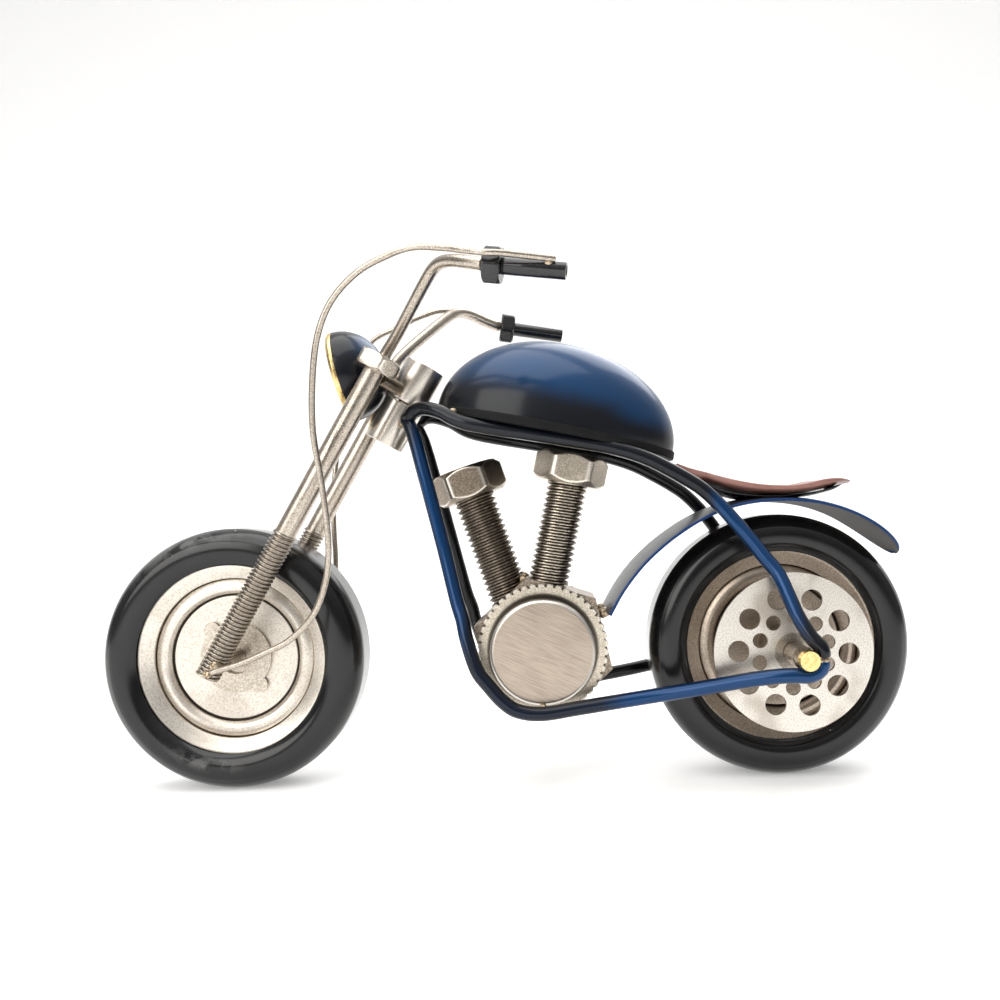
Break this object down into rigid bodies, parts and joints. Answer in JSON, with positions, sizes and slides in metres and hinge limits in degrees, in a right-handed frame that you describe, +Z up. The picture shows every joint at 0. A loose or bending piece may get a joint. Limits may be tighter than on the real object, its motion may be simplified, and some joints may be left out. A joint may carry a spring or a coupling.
{
  "type": "motorcycle model",
  "caption": "Desk model of a chopper motorcycle welded from bolts, nuts, washers and bent steel rod, with wheels that roll and a fork that steers.",
  "frame": {"origin": "on the ground, midway between the two axles, on the centre plane", "axes": "+X towards the rear wheel, +Y to the rider's right, +Z up"},
  "size_m": [0.2048, 0.0794, 0.1291],
  "materials": {
    "steel": "satin nickel grey",
    "bolt_steel": "satin, dark in the thread",
    "slug_steel": "satin, with fine diagonal scratches",
    "rail_paint": "gloss black with blue sprayed over it",
    "tank_paint": "gloss metallic blue fading to black",
    "fender_paint": "gloss dark blue",
    "black_paint": "gloss black",
    "seat_paint": "semi-gloss reddish brown",
    "black_gloss": "gloss black",
    "weld": "brazed, golden to dark",
    "brass": "polished",
    "lamp_gold": "polished pale gold",
    "lens_glass": "clear, warm",
    "tyre": "satin black",
    "rim_bronze": "satin warm brown grey"
  },
  "bodies": {
    "frame": {"top_rail_left": "rail_paint", "top_rail_right": "rail_paint", "cradle_rail_left": "rail_paint", "cradle_rail_right": "rail_paint", "head_tube": "steel", "tank_shell": "tank_paint", "tank_base": "black_paint", "seat_pan": "seat_paint", "seat_base": "black_paint", "rear_fender": "fender_paint", "crankcase_nut": "steel", "serrated_washer_left": "steel", "serrated_washer_right": "steel", "crankcase_slug_left": "slug_steel", "crankcase_slug_right": "slug_steel", "cylinder_bolt_front": "bolt_steel", "cylinder_bolt_rear": "bolt_steel", "frame_weld_beads": "weld", "rear_axle": "steel", "rear_axle_end_left": "brass", "rear_axle_end_right": "brass", "rear_sleeve_left": "steel", "rear_sleeve_right": "steel"},
    "steering": {"steering_cap": "steel", "steering_pin": "steel", "crown_bar_left": "steel", "crown_bar_right": "steel", "fork_bolt_left": "steel", "fork_bolt_right": "steel", "handlebar_left": "steel", "handlebar_right": "steel", "grip_nut_left": "black_gloss", "grip_nut_right": "black_gloss", "grip_left": "black_gloss", "grip_right": "black_gloss", "brake_cable_left": "steel", "brake_cable_right": "steel", "headlight_shell": "tank_paint", "headlight_lens": "lens_glass", "headlight_rim": "lamp_gold", "headlight_post": "steel", "front_axle": "steel", "steering_weld_beads": "weld"},
    "front_wheel": {"front_tyre": "tyre", "front_rim": "steel", "front_face_disc_left": "steel", "front_face_disc_right": "steel", "front_eared_washer_left": "steel", "front_eared_washer_right": "steel", "front_bush": "steel"},
    "rear_wheel": {"rear_tyre": "tyre", "rear_rim": "rim_bronze", "rear_face_disc_left": "rim_bronze", "rear_face_disc_right": "rim_bronze", "brake_disc_left": "steel", "brake_disc_right": "steel", "rear_bush": "steel"}
  },
  "joints": [
    {"name": "steering_turn", "type": "hinge", "parent": "frame", "child": "steering", "pos_m": [-0.0248, 0, 0.0972], "axis": [0.503, 0, 0.8643], "range_deg": [-35, 35]},
    {"name": "front_wheel_spin", "type": "hinge", "parent": "steering", "child": "front_wheel", "pos_m": [-0.0694, 0, 0.033], "axis": [0, 1, 0], "continuous": true},
    {"name": "rear_wheel_spin", "type": "hinge", "parent": "frame", "child": "rear_wheel", "pos_m": [0.0694, 0, 0.033], "axis": [0, 1, 0], "continuous": true}
  ]
}
